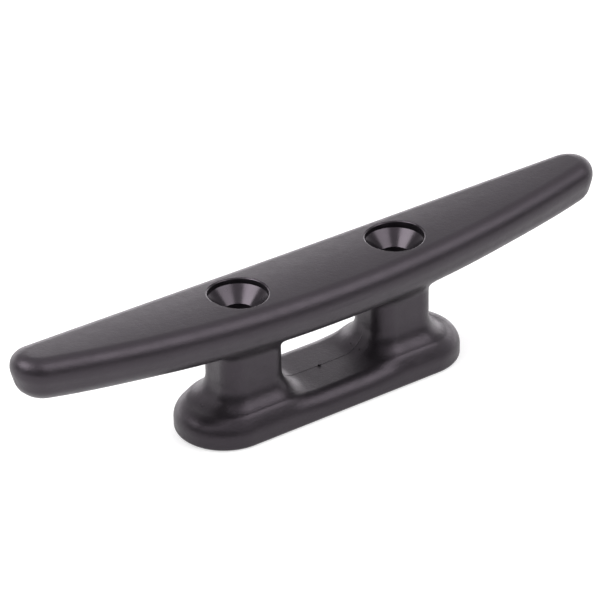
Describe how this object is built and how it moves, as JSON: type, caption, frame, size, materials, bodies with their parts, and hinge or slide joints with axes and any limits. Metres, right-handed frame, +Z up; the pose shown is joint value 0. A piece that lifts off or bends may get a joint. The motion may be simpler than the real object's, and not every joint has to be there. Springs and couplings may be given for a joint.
{
  "type": "mooring cleat",
  "caption": "Two-horn moulded nylon mooring cleat with a solid base, twin legs and countersunk through-bolt holes.",
  "frame": {"origin": "centre of the base's flat underside", "axes": "+X along the horns, +Y across the cleat, +Z up from the deck"},
  "size_m": [0.1542, 0.0232, 0.0352],
  "materials": {
    "black_nylon": "near-black charcoal nylon, fine matte spark-eroded mould texture"
  },
  "bodies": {
    "root": {"base": "black_nylon", "left_leg": "black_nylon", "right_leg": "black_nylon", "crossbar": "black_nylon", "left_horn": "black_nylon", "right_horn": "black_nylon"}
  },
  "joints": []
}
